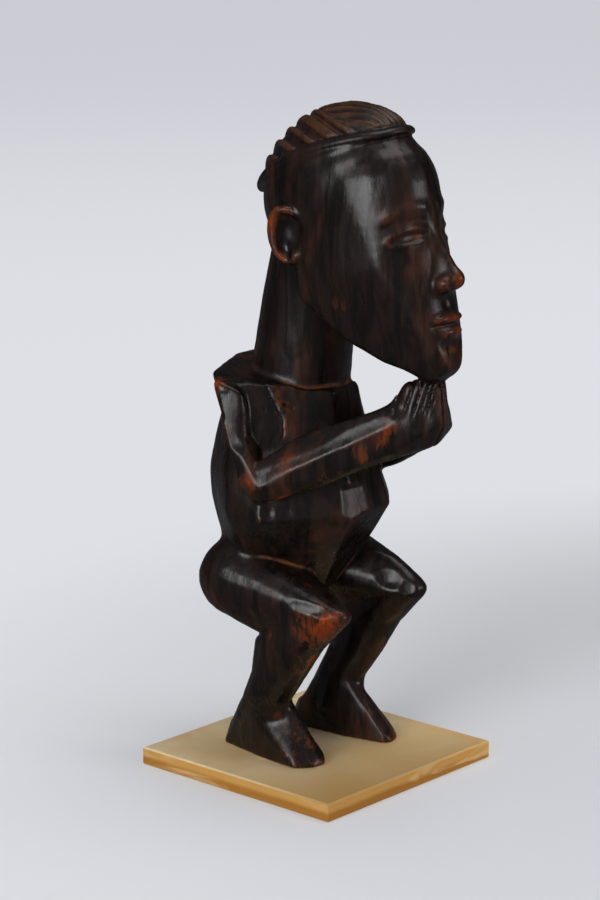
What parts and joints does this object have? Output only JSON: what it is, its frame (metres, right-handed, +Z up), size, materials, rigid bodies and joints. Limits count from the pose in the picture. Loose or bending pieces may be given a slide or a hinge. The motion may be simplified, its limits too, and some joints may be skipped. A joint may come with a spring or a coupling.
{
  "type": "carved ancestor figure on plate",
  "caption": "Standing wooden ancestor figure with bent knees and hands under the chin, screwed from below to a square acrylic plate.",
  "frame": {"origin": "centre of the square base plate's underside", "axes": "+Z up from the plate, the figure faces -Y (turned about 4 degrees towards +X on its plate), the figure's left is +X"},
  "size_m": [0.08, 0.0951, 0.2162],
  "materials": {
    "carved_wood": "dark stained, waxed and rubbed, worn to red brown on the edges",
    "amber_acrylic": "clear acrylic aged to amber, polished edges",
    "screw_steel": "plain steel"
  },
  "bodies": {
    "root": {"carved_figure": "carved_wood", "base_plate": "amber_acrylic", "right_foot_screw": "screw_steel", "left_foot_screw": "screw_steel"}
  },
  "joints": []
}
